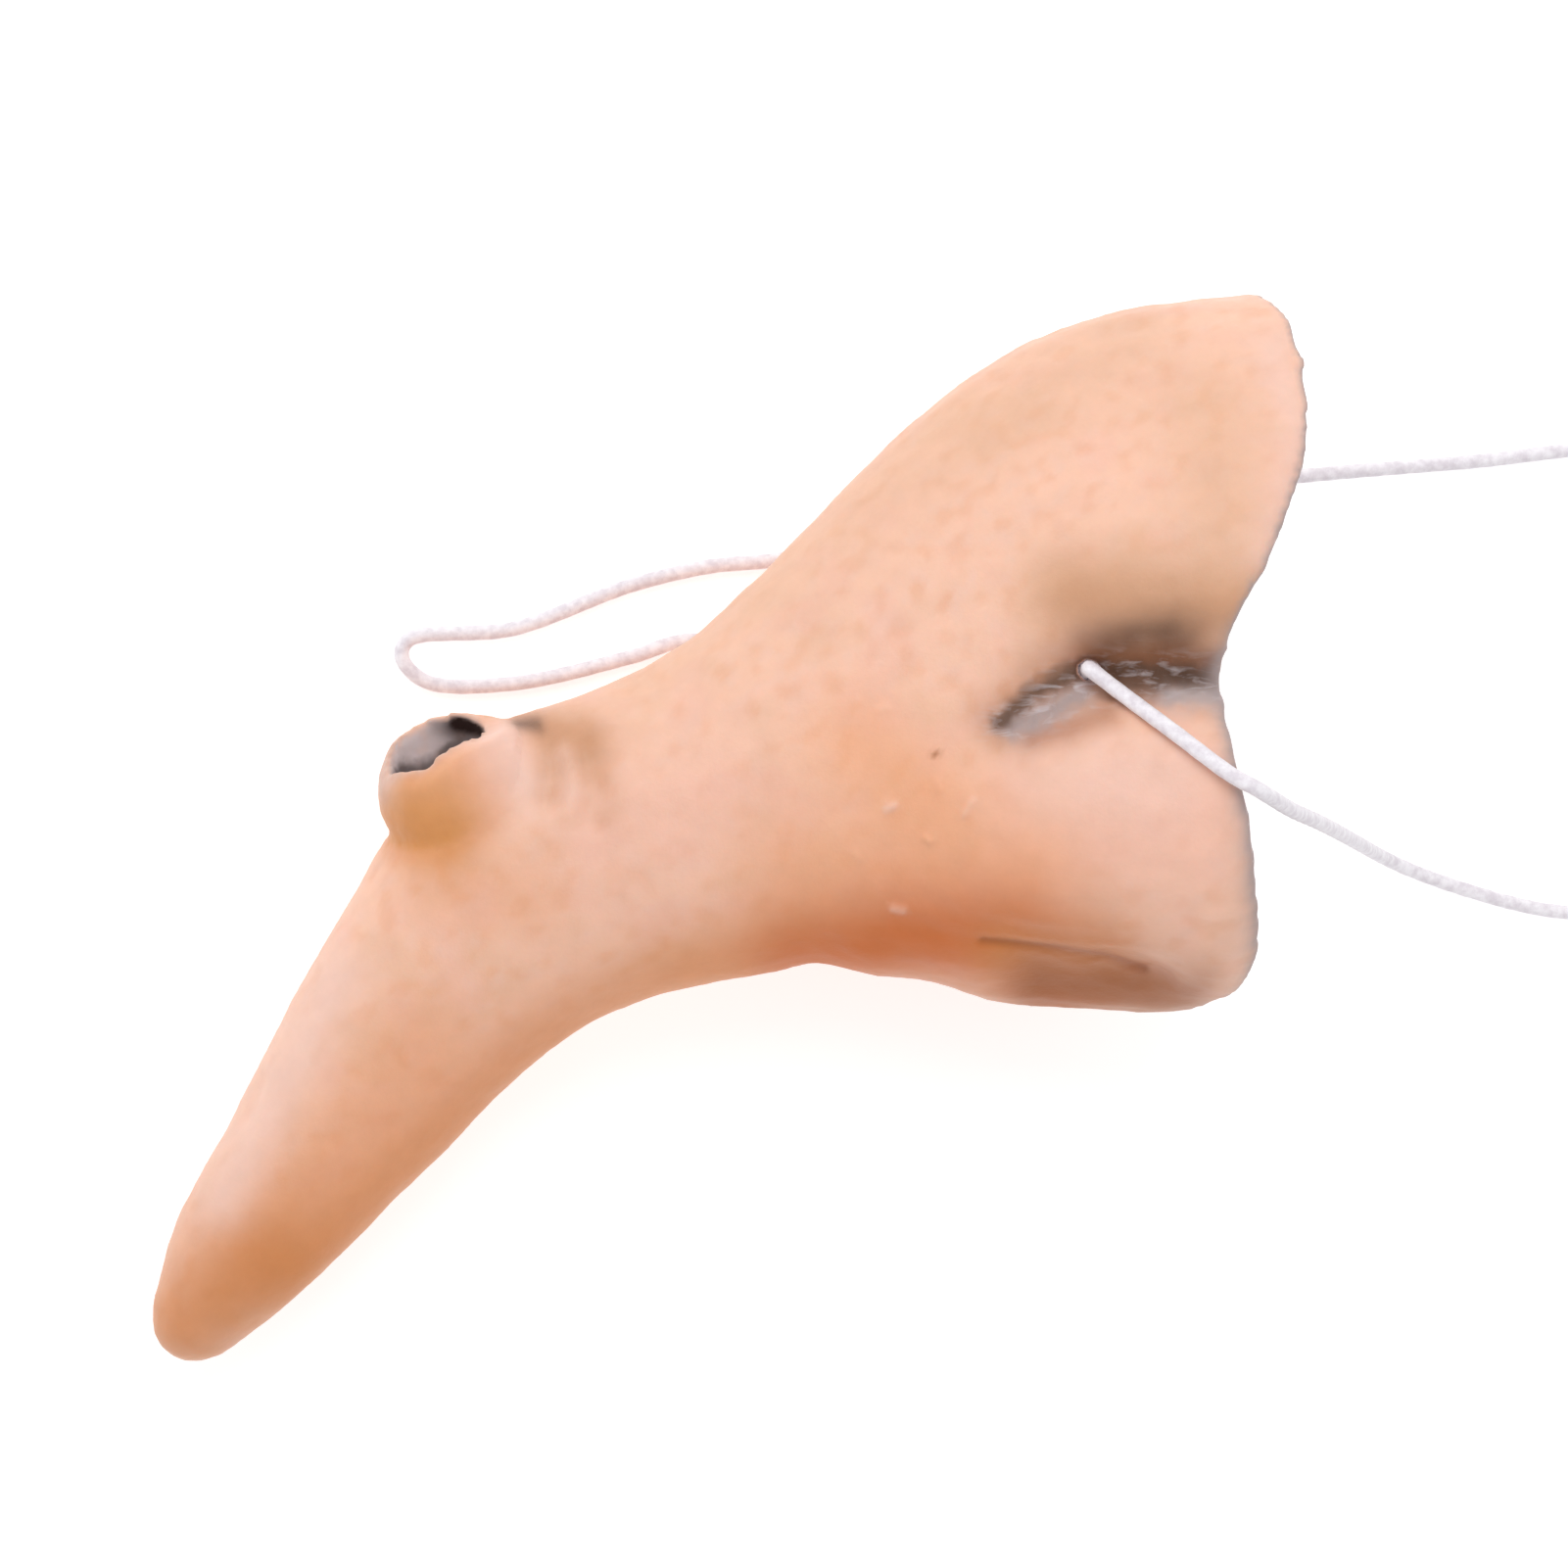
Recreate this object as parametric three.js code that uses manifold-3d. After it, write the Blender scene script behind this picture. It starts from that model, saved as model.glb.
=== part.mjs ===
import * as THREE from "three";
import { mergeVertices } from "three/addons/utils/BufferGeometryUtils.js";
import Module from "manifold-3d";

const wasm = await Module();
wasm.setup();

// A costume nose of moulded latex, long and hooked, with a wart that has a crater, worn on a thin elastic.
// Every length is in millimetres. The nose is first shaped in its own frame: x from the tip back to the
// face, y up the bridge, z out of its left cheek. It is then laid on its right cheek on the ground, z = 0.

// Shell
const noseLength = 125; // along x, tip to the rearmost point of the rim
const baseHeight = 76.8; // along y, lip end to bridge end of the rim
const baseWidth = 52; // across the base, before its bulges
const wall = 2; // latex thickness
const tipRounding = 9; // radius along the tip's end, were it a full half round
const tipTaper = 21; // degrees by which the tip already narrows where its round end starts
const solidTip = 14; // how far the end of the hollow stays from the tip's first section

// Folds and bulges of the skin
const grooveDepth = 5;
const grooveReach = 3.6;
const wingBulge = 4.6;
const wingReach = 13;
const cheekBulge = 3.4;
const cheekReach = 12;
const foldDepth = 1.3;
const foldReach = 2.2;
const nostrilDepth = 3;
const nostrilReach = 6;

// Wart
const wartDiameter = 16.2;
const craterDiameter = 10.6;
const craterDepth = 5.6;
const craterLip = 0.45; // width of the wart's flat lip
const wartFoot = 1.6; // how high the skin swells round the foot of the wart

// Elastic
const cordDiameter = 1.6;
const cordClearance = 0.3; // round the cord in its holes, and between it and its knots
const knotSize = 1.4; // from the middle of a knot to the middle of its loops
const knotStrand = 1.34; // a knot's pulled strand, a little thinner than the elastic
const knotSlack = 2.3; // elastic between a knot and the cheek
const groundGap = 0.1; // between the elastic and the ground
const wingGap = 0.9; // between the elastic and the wing that it goes over

// Mesh steps
const sectionSteps = 44;
const hollowSteps = 22;
const stepsAround = 48;
const domeSteps = 4;
const cordSteps = 82;
const cordSides = 8;
const knotSteps = 56;
const knotSides = 6;
const stepsRoundWart = 28;
const sideCrowding = 0.25; // crowds the steps around the section towards the cheeks, where the groove is
const rimCrowding = 1.35; // crowds the sections towards the rim

// One row for each cross-section, from the tip to the rim. The ridge and under columns are where its highest
// and lowest points lie: along as a share of noseLength, rise as a share of baseHeight. width is a share of
// baseWidth, and belly is how far down the section its widest point lies.
const sections = [
  { ridgeAlong: 0.008, ridgeRise: -0.379, underAlong: 0.08, underRise: -0.46, width: 0.22, belly: 0.5 },
  { ridgeAlong: 0.026, ridgeRise: -0.282, underAlong: 0.138, underRise: -0.384, width: 0.31, belly: 0.5 },
  { ridgeAlong: 0.069, ridgeRise: -0.156, underAlong: 0.192, underRise: -0.295, width: 0.37, belly: 0.5 },
  { ridgeAlong: 0.119, ridgeRise: 0.007, underAlong: 0.252, underRise: -0.198, width: 0.41, belly: 0.5 },
  { ridgeAlong: 0.169, ridgeRise: 0.146, underAlong: 0.303, underRise: -0.114, width: 0.44, belly: 0.5 },
  { ridgeAlong: 0.213, ridgeRise: 0.238, underAlong: 0.346, underRise: -0.053, width: 0.47, belly: 0.5 },
  { ridgeAlong: 0.261, ridgeRise: 0.32, underAlong: 0.384, underRise: -0.014, width: 0.5, belly: 0.5 },
  { ridgeAlong: 0.315, ridgeRise: 0.398, underAlong: 0.43, underRise: 0.016, width: 0.52, belly: 0.51 },
  { ridgeAlong: 0.374, ridgeRise: 0.442, underAlong: 0.485, underRise: 0.037, width: 0.54, belly: 0.52 },
  { ridgeAlong: 0.439, ridgeRise: 0.503, underAlong: 0.535, underRise: 0.052, width: 0.57, belly: 0.53 },
  { ridgeAlong: 0.497, ridgeRise: 0.569, underAlong: 0.573, underRise: 0.068, width: 0.61, belly: 0.54 },
  { ridgeAlong: 0.557, ridgeRise: 0.663, underAlong: 0.619, underRise: 0.053, width: 0.655, belly: 0.56 },
  { ridgeAlong: 0.616, ridgeRise: 0.762, underAlong: 0.67, underRise: 0.045, width: 0.7, belly: 0.58 },
  { ridgeAlong: 0.676, ridgeRise: 0.852, underAlong: 0.72, underRise: 0.016, width: 0.755, belly: 0.6 },
  { ridgeAlong: 0.744, ridgeRise: 0.929, underAlong: 0.771, underRise: 0.007, width: 0.825, belly: 0.62 },
  { ridgeAlong: 0.82, ridgeRise: 0.975, underAlong: 0.829, underRise: 0.003, width: 0.9, belly: 0.62 },
  { ridgeAlong: 0.88, ridgeRise: 0.989, underAlong: 0.88, underRise: 0, width: 0.95, belly: 0.62 },
  { ridgeAlong: 0.943, ridgeRise: 1, underAlong: 0.913, underRise: 0.005, width: 0.98, belly: 0.62 },
];

// How far the rim runs back of its last section, as a share of noseLength, from the bridge end (down 0) to
// the lip end (down 1). It dips forward where the groove meets it.
const rim = [
  { down: 0, back: 0.013 },
  { down: 0.05, back: 0.03 },
  { down: 0.105, back: 0.042 },
  { down: 0.166, back: 0.047 },
  { down: 0.249, back: 0.042 },
  { down: 0.318, back: 0.029 },
  { down: 0.414, back: 0.006 },
  { down: 0.483, back: -0.021 },
  { down: 0.538, back: -0.032 },
  { down: 0.62, back: -0.018 },
  { down: 0.717, back: 0 },
  { down: 0.8, back: 0.013 },
  { down: 0.87, back: 0.026 },
  { down: 0.925, back: 0.026 },
  { down: 0.97, back: 0.016 },
  { down: 1, back: -0.008 },
];
const rimRampFrom = 0.72; // share of the way to the rim at which it starts to run back

// Folds and bulges, the same on both cheeks. path runs through points of along and rise shares, seen from
// the side, or along and half-width shares, seen from below. height goes from its first value to its last.
const relief = [
  {
    seenFrom: "side",
    path: [[0.723, 0.395], [0.751, 0.429], [0.788, 0.457], [0.9, 0.453]],
    reach: grooveReach,
    height: [-0.3 * grooveDepth, -1.1 * grooveDepth],
  },
  { seenFrom: "side", path: [[0.79, 0.21], [0.87, 0.2]], reach: wingReach, height: [wingBulge, wingBulge] },
  { seenFrom: "side", path: [[0.84, 0.61], [0.92, 0.66]], reach: cheekReach, height: [cheekBulge, cheekBulge] },
  {
    seenFrom: "side",
    path: [[0.693, 0.11], [0.754, 0.1], [0.803, 0.083], [0.852, 0.05]],
    reach: foldReach,
    height: [-0.6 * foldDepth, -foldDepth],
  },
  {
    seenFrom: "below",
    path: [[0.76, 0.42], [0.84, 0.5]],
    reach: nostrilReach,
    height: [-nostrilDepth, -nostrilDepth],
  },
];

// The wart sits on the ridge, out to the left by a share of baseWidth. tilt leans its crater from upright
// towards the tip, and turn towards the left.
const wart = { along: 0.2646, rise: 0.305, out: 0.077, tilt: 23, turn: 32 };

// Both ends of the elastic go through the groove, in shares of noseLength and baseHeight.
const cordHole = { along: 0.793, rise: 0.467 };

// The elastic's route over the ground, from the right hole to where it rises to the left wing. x and y are
// shares of noseLength and baseHeight, measured from the middle of the nose as it lies.
const groundRoute = [
  { x: 0.298, y: 0.196 },
  { x: 0.24, y: 0.206 },
  { x: 0.16, y: 0.214 },
  { x: 0.07, y: 0.225 },
  { x: -0.022, y: 0.248 },
  { x: -0.075, y: 0.224 },
  { x: -0.11, y: 0.212 },
  { x: -0.145, y: 0.199 },
  { x: -0.18, y: 0.187 },
  { x: -0.214, y: 0.184 },
  { x: -0.237, y: 0.186 },
  { x: -0.256, y: 0.191 },
  { x: -0.271, y: 0.203 },
  { x: -0.277, y: 0.226 },
  { x: -0.271, y: 0.25 },
  { x: -0.256, y: 0.26 },
  { x: -0.235, y: 0.259 },
  { x: -0.214, y: 0.257 },
  { x: -0.18, y: 0.265 },
  { x: -0.145, y: 0.283 },
  { x: -0.11, y: 0.307 },
  { x: -0.075, y: 0.327 },
  { x: -0.04, y: 0.342 },
  { x: -0.005, y: 0.354 },
  { x: 0.057, y: 0.364 },
  { x: 0.25, y: 0.425 },
  { x: 0.4, y: 0.464 },
  { x: 0.555, y: 0.49 },
  { x: 0.616, y: 0.499 },
  { x: 0.692, y: 0.51 },
  { x: 0.808, y: 0.532 },
  { x: 0.92, y: 0.53 },
  { x: 1.03, y: 0.43 },
  { x: 1.085, y: 0.25 },
  { x: 1.075, y: 0.05 },
  { x: 1.0, y: -0.1 },
  { x: 0.9, y: -0.16 },
  { x: 0.81, y: -0.168 },
  { x: 0.741, y: -0.148 },
  { x: 0.702, y: -0.129 },
  { x: 0.663, y: -0.105 },
  { x: 0.639, y: -0.083 },
];

// Its rise from the ground, measured the same way. z is a share of baseWidth.
const risingRoute = [
  { x: 0.613, y: -0.063, z: 0.09 },
  { x: 0.549, y: -0.019, z: 0.346 },
  { x: 0.465, y: 0.024, z: 0.692 },
  { x: 0.403, y: 0.057, z: 0.923 },
];

// Its way over the left wing to the left hole, in shares of noseLength and baseHeight.
const wingRoute = [
  { along: 0.921, rise: 0.31 },
  { along: 0.903, rise: 0.326 },
  { along: 0.883, rise: 0.35 },
  { along: 0.856, rise: 0.385 },
  { along: 0.832, rise: 0.417 },
  { along: 0.81, rise: 0.445 },
];

const wartCentre = new THREE.Vector3(
  wart.along * noseLength,
  wart.rise * baseHeight,
  wart.out * baseWidth,
);

const curveThrough = (points) => new THREE.CatmullRomCurve3(points, false, "centripetal");
const ridgeCurve = curveThrough(
  sections.map((row) => new THREE.Vector3(row.ridgeAlong * noseLength, row.ridgeRise * baseHeight, 0)),
);
const underCurve = curveThrough(
  sections.map((row) => new THREE.Vector3(row.underAlong * noseLength, row.underRise * baseHeight, 0)),
);
const widthCurve = curveThrough(
  sections.map((row, i) => new THREE.Vector3(i, (row.width * baseWidth) / 2, row.belly * sections.length)),
);
const rimCurve = curveThrough(rim.map((row) => new THREE.Vector3(row.down, row.back, 0)));

// How far the rim runs back at a share down the section.
function rimBack(down) {
  let low = 0;
  let high = 1;
  for (let i = 0; i < 24; i += 1) {
    const middle = (low + high) / 2;
    if (rimCurve.getPoint(middle).x < down) low = middle;
    else high = middle;
  }
  return rimCurve.getPoint(low).y * noseLength;
}

// A point of the plain skin. share runs from the tip's first section (0) to the rim (1), and turn goes
// round the section in radians: 0 on the ridge, a quarter turn on the left cheek.
function plainSkin(share, turn) {
  const ridge = ridgeCurve.getPoint(share);
  const under = underCurve.getPoint(share);
  const shape = widthCurve.getPoint(share);
  const belly = shape.z / sections.length;
  const evenDown = (1 - Math.cos(turn)) / 2;
  const down = evenDown + (belly - 0.5) * Math.sin(turn) ** 2;
  const point = ridge.lerp(under, down);
  point.z = Math.sin(turn) * shape.y;
  const ramp = THREE.MathUtils.smoothstep(share, rimRampFrom, 1);
  point.x += rimBack(down) * ramp;
  return point;
}

// The outward normal of the plain skin.
function plainNormal(share, turn) {
  const step = 1e-3;
  const back = Math.min(share, 1 - step);
  const lengthwise = plainSkin(back + step, turn).sub(plainSkin(back, turn));
  const around = plainSkin(share, turn + step).sub(plainSkin(share, turn - step));
  return around.cross(lengthwise).normalize();
}

// How high the folds and bulges stand at a point of the plain skin. widen spreads them for the hollow.
function reliefAt(point, normal, widen) {
  let sum = 0;
  for (const row of relief) {
    const fromSide = row.seenFrom === "side";
    const across = fromSide ? point.y / baseHeight : Math.abs(point.z) / (baseWidth / 2);
    const acrossSize = fromSide ? baseHeight : baseWidth / 2;
    const facing = fromSide ? Math.abs(normal.z) : Math.max(0, -normal.y);
    const here = new THREE.Vector2(point.x, across * acrossSize);
    const path = row.path.map(([a, b]) => new THREE.Vector2(a * noseLength, b * acrossSize));
    const near = nearestOnPath(here, path);
    const fall = Math.exp(-((near.distance / (row.reach + widen)) ** 2));
    const height = THREE.MathUtils.lerp(row.height[0], row.height[1], near.share);
    sum += height * fall * THREE.MathUtils.smoothstep(facing, 0.1, 0.7);
  }
  return sum;
}

// The nearest point of a path: its distance, and its share of the way along.
function nearestOnPath(here, path) {
  let best = { distance: Infinity, share: 0 };
  for (let i = 0; i + 1 < path.length; i += 1) {
    const leg = path[i + 1].clone().sub(path[i]);
    const offset = here.clone().sub(path[i]);
    const part = THREE.MathUtils.clamp(offset.dot(leg) / leg.lengthSq(), 0, 1);
    const distance = offset.sub(leg.multiplyScalar(part)).length();
    if (distance < best.distance) best = { distance, share: (i + part) / (path.length - 1) };
  }
  return best;
}

const skinPoint = (share, turn) => {
  const point = plainSkin(share, turn);
  const normal = plainNormal(share, turn);
  const fromWart = point.distanceTo(wartCentre) / (0.75 * wartDiameter);
  const foot = wartFoot * Math.exp(-(fromWart ** 4));
  return point.addScaledVector(normal, reliefAt(point, normal, 0) + foot);
};
const hollowPoint = (share, turn) => {
  const point = plainSkin(share, turn);
  const normal = plainNormal(share, turn);
  return point.addScaledVector(normal, reliefAt(point, normal, wall) - wall);
};

const turnAt = (j) => {
  const even = (2 * Math.PI * j) / stepsAround;
  return even + sideCrowding * Math.sin(2 * even);
};

const crowded = (share) => 1 - (1 - share) ** rimCrowding;

// A ring of points round one section.
const ringAt = (share, pointAt) =>
  Array.from({ length: stepsAround }, (_, j) => pointAt(share, turnAt(j)));

const middleOf = (ring) =>
  ring.reduce((sum, p) => sum.add(p), new THREE.Vector3()).divideScalar(ring.length);

// Rings that round off the start of a loft, shrinking along an ellipse to a pole, which comes first.
function domeRings(ring, nextRing, radius) {
  const centre = middleOf(ring);
  const axis = centre.clone().sub(middleOf(nextRing)).normalize();
  const from = THREE.MathUtils.degToRad(tipTaper);
  const rings = [];
  for (let i = domeSteps - 1; i > 0; i -= 1) {
    const angle = THREE.MathUtils.lerp(from, Math.PI / 2, i / domeSteps);
    const reach = radius * (Math.sin(angle) - Math.sin(from));
    const size = Math.cos(angle) / Math.cos(from);
    rings.push(ring.map((p) => centre.clone().lerp(p, size).addScaledVector(axis, reach)));
  }
  return { pole: centre.clone().addScaledVector(axis, radius * (1 - Math.sin(from))), rings };
}

// A closed solid through rings of points, closed by a point at each end.
function loft(startPoint, rings, endPoint) {
  const positions = [startPoint, ...rings.flat(), endPoint].flatMap((p) => [p.x, p.y, p.z]);
  const index = [];
  const last = 1 + rings.length * stepsAround;
  for (let j = 0; j < stepsAround; j += 1) {
    const next = (j + 1) % stepsAround;
    index.push(0, 1 + next, 1 + j);
    for (let i = 0; i + 1 < rings.length; i += 1) {
      const a = 1 + i * stepsAround;
      const b = a + stepsAround;
      index.push(a + j, b + next, b + j, a + j, a + next, b + next);
    }
    const end = last - stepsAround;
    index.push(end + j, end + next, last);
  }
  return new wasm.Manifold(
    new wasm.Mesh({
      numProp: 3,
      vertProperties: new Float32Array(positions),
      triVerts: new Uint32Array(index),
    }),
  );
}

function solidOf(geometry) {
  const bare = new THREE.BufferGeometry().setAttribute("position", geometry.getAttribute("position"));
  if (geometry.index) bare.setIndex(geometry.index);
  const merged = mergeVertices(bare, 1e-4);
  return new wasm.Manifold(
    new wasm.Mesh({
      numProp: 3,
      vertProperties: merged.attributes.position.array,
      triVerts: new Uint32Array(merged.index.array),
    }),
  );
}

function geometryOf(solid) {
  const mesh = solid.getMesh();
  const positions = new Float32Array(mesh.numVert * 3);
  for (let i = 0; i < mesh.numVert; i += 1)
    for (let k = 0; k < 3; k += 1) positions[3 * i + k] = mesh.vertProperties[i * mesh.numProp + k];
  const geometry = new THREE.BufferGeometry();
  geometry.setAttribute("position", new THREE.BufferAttribute(positions, 3));
  geometry.setIndex(new THREE.BufferAttribute(new Uint32Array(mesh.triVerts), 1));
  geometry.computeVertexNormals();
  return geometry;
}

function outerSolid() {
  const rings = [];
  for (let i = 0; i <= sectionSteps; i += 1) rings.push(ringAt(crowded(i / sectionSteps), skinPoint));
  const dome = domeRings(rings[0], rings[1], tipRounding);
  return loft(dome.pole, [...dome.rings, ...rings], middleOf(rings.at(-1)));
}

function hollowSolid() {
  const start = solidTip / noseLength;
  const rings = [];
  for (let i = 0; i <= hollowSteps; i += 1)
    rings.push(ringAt(THREE.MathUtils.lerp(start, 1, crowded(i / hollowSteps)), hollowPoint));
  const dome = domeRings(rings[0], rings[1], tipRounding);
  const behind = rings.at(-1).map((p) => p.clone().add(new THREE.Vector3(noseLength * 0.2, 0, 0)));
  return loft(dome.pole, [...dome.rings, ...rings, behind], middleOf(behind));
}

// The wart's ball, flat at its lip, and the bowl that is its crater. Both are round +y, and the ball's centre
// is the origin.
const lipHeight = Math.sqrt((wartDiameter / 2) ** 2 - (craterDiameter / 2 + craterLip) ** 2);

// A round profile from one angle above the horizontal to another.
const arc = (radius, from, to, steps) =>
  Array.from({ length: steps + 1 }, (_, i) => {
    const angle = THREE.MathUtils.lerp(from, to, i / steps);
    return new THREE.Vector2(radius * Math.cos(angle), radius * Math.sin(angle));
  });

function wartBall() {
  const lipAngle = Math.asin(lipHeight / (wartDiameter / 2));
  const profile = arc(wartDiameter / 2, -Math.PI / 2, lipAngle, 12);
  profile[0].x = 0;
  return new THREE.LatheGeometry([...profile, new THREE.Vector2(0, lipHeight)], stepsRoundWart);
}

function craterBowl() {
  const above = lipHeight + 1;
  const bowl = arc(1, -Math.PI / 2, 0, 5).map(
    (p) => new THREE.Vector2((p.x * craterDiameter) / 2, lipHeight + p.y * craterDepth),
  );
  bowl[0].x = 0;
  const profile = [...bowl, new THREE.Vector2(craterDiameter / 2, above), new THREE.Vector2(0, above)];
  return new THREE.LatheGeometry(profile, stepsRoundWart);
}

function placeWart(geometry) {
  const tilt = THREE.MathUtils.degToRad(wart.tilt);
  const turn = THREE.MathUtils.degToRad(wart.turn);
  geometry.rotateX(turn);
  geometry.rotateZ(tilt);
  geometry.translate(...wartCentre);
  return solidOf(geometry);
}

const plainShell = outerSolid()
  .add(placeWart(wartBall()))
  .subtract(hollowSolid())
  .subtract(placeWart(craterBowl()));

const bothSides = new THREE.MeshBasicMaterial({ side: THREE.DoubleSide });
const plainMesh = new THREE.Mesh(geometryOf(plainShell), bothSides);

const holeSpot = new THREE.Vector2(cordHole.along * noseLength, cordHole.rise * baseHeight);
const drill = new THREE.CylinderGeometry(1, 1, 2 * baseWidth, 16)
  .scale(cordDiameter / 2 + cordClearance, 1, cordDiameter / 2 + cordClearance)
  .rotateX(Math.PI / 2)
  .translate(holeSpot.x, holeSpot.y, 0);

// The heights of the left cheek's walls over a point of the side view, innermost first.
function wallsAt(along, rise) {
  const from = new THREE.Vector3(along * noseLength, rise * baseHeight, 0);
  const hits = new THREE.Raycaster(from, new THREE.Vector3(0, 0, 1)).intersectObject(plainMesh);
  return hits.map((hit) => hit.point.z);
}

// The balance point of a closed body.
function balancePoint(geometry) {
  const flat = geometry.toNonIndexed().getAttribute("position");
  const sum = new THREE.Vector3();
  let volume = 0;
  for (let i = 0; i < flat.count; i += 3) {
    const [a, b, c] = [0, 1, 2].map((k) => new THREE.Vector3().fromBufferAttribute(flat, i + k));
    const part = a.dot(b.clone().cross(c)) / 6;
    volume += part;
    sum.addScaledVector(a.add(b).add(c), part / 4);
  }
  return sum.divideScalar(volume);
}

// How the nose lies by itself on its right cheek: tilted by ever smaller steps, in whichever direction
// brings its balance point nearer to the ground, until none does.
function restingPlace(geometry) {
  const balance = balancePoint(geometry);
  const spots = geometry.getAttribute("position");
  const heightFor = (up) => {
    let low = Infinity;
    for (let i = 0; i < spots.count; i += 1)
      low = Math.min(low, up.x * spots.getX(i) + up.y * spots.getY(i) + up.z * spots.getZ(i));
    return balance.dot(up) - low;
  };
  let up = new THREE.Vector3(0, 0, 1);
  let height = heightFor(up);
  let step = 0.1;
  while (step > 1e-5) {
    const tries = Array.from({ length: 16 }, (_, i) => {
      const angle = (2 * Math.PI * i) / 16;
      const tilt = new THREE.Vector3(step * Math.cos(angle), step * Math.sin(angle), 0);
      return up.clone().add(tilt).normalize();
    });
    const heights = tries.map(heightFor);
    const best = heights.indexOf(Math.min(...heights));
    if (heights[best] < height) {
      up = tries[best];
      height = heights[best];
    } else {
      step /= 2;
    }
  }
  const turn = new THREE.Quaternion().setFromUnitVectors(up, new THREE.Vector3(0, 0, 1));
  const place = new THREE.Matrix4().makeRotationFromQuaternion(turn);
  const box = new THREE.Box3().setFromObject(new THREE.Mesh(geometry.clone().applyMatrix4(place)));
  const centre = box.getCenter(new THREE.Vector3());
  return place.setPosition(-centre.x, -centre.y, -box.min.z);
}

const shellGeometry = geometryOf(plainShell.subtract(solidOf(drill)));
const place = restingPlace(shellGeometry);

const groundLift = cordDiameter / 2 + groundGap;

// A smooth curve that stays on the ground.
class GroundedCurve extends THREE.CatmullRomCurve3 {
  getPoint(t, target) {
    const point = super.getPoint(t, target);
    point.z = Math.max(point.z, groundLift);
    return point;
  }
}

// The elastic's route from knot to knot, on the laid nose.
function cordPath() {
  const holeWalls = wallsAt(cordHole.along, cordHole.rise);
  const inner = holeWalls[0];
  const outer = holeWalls.at(-1);
  const inHole = (z) => new THREE.Vector3(holeSpot.x, holeSpot.y, z).applyMatrix4(place);
  const wingTop = Math.max(...wingRoute.flatMap((row) => wallsAt(row.along, row.rise)));
  const overWing = wingRoute.map((row) => {
    const top = wallsAt(row.along, row.rise).at(-1) ?? wingTop;
    const height = top + cordDiameter / 2 + wingGap;
    return new THREE.Vector3(row.along * noseLength, row.rise * baseHeight, height).applyMatrix4(place);
  });
  return new GroundedCurve(
    [
      inHole(knotSlack - inner),
      inHole(-inner),
      inHole(-outer),
      inHole(-outer - 0.75 * cordDiameter),
      ...groundRoute.map((row) => new THREE.Vector3(row.x * noseLength, row.y * baseHeight, groundLift)),
      ...risingRoute.map(
        (row) => new THREE.Vector3(row.x * noseLength, row.y * baseHeight, groundLift + row.z * baseWidth),
      ),
      ...overWing,
      inHole(outer + cordDiameter),
      inHole(outer),
      inHole(inner),
      inHole(inner - knotSlack),
    ],
    false,
    "centripetal",
  );
}

function cordGeometry(path) {
  const section = new THREE.Shape();
  for (let i = 0; i < cordSides; i += 1) {
    const angle = (2 * Math.PI * i) / cordSides;
    const x = (cordDiameter / 2) * Math.cos(angle);
    const y = (cordDiameter / 2) * Math.sin(angle);
    if (i === 0) section.moveTo(x, y);
    else section.lineTo(x, y);
  }
  return new THREE.ExtrudeGeometry(section, { steps: cordSteps, extrudePath: path, bevelEnabled: false });
}

// A knot lies flat on the inside of the cheek, behind its hole. side is 1 on the left, -1 on the right.
function knotAt(side) {
  const inner = wallsAt(cordHole.along, cordHole.rise)[0];
  const thickness = knotSize + cordDiameter;
  const knot = new THREE.TorusKnotGeometry(knotSize, knotStrand / 2, knotSteps, knotSides, 2, 3);
  knot.translate(holeSpot.x, holeSpot.y, side * (inner - knotSlack - cordClearance - thickness / 2));
  return knot.applyMatrix4(place);
}

const skinMaterial = new THREE.MeshStandardMaterial({ color: 0xe8b08c, roughness: 0.5, metalness: 0 });
const elasticMaterial = new THREE.MeshStandardMaterial({ color: 0xf1f0f4, roughness: 0.75, metalness: 0 });

const shell = new THREE.Mesh(shellGeometry.applyMatrix4(place), skinMaterial);
shell.name = "nose_shell";

const path = cordPath();
const cord = new THREE.Mesh(cordGeometry(path), elasticMaterial);
cord.name = "elastic_cord";

const leftKnot = new THREE.Mesh(knotAt(1), elasticMaterial.clone());
leftKnot.name = "left_knot";
const rightKnot = new THREE.Mesh(knotAt(-1), elasticMaterial.clone());
rightKnot.name = "right_knot";

const nose = new THREE.Group();
nose.add(shell, cord, leftKnot, rightKnot);

export default nose;
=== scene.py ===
import math
import bmesh
import bpy
import numpy as np
from mathutils import Matrix, Vector, kdtree, noise
from mathutils.bvhtree import BVHTree


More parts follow.
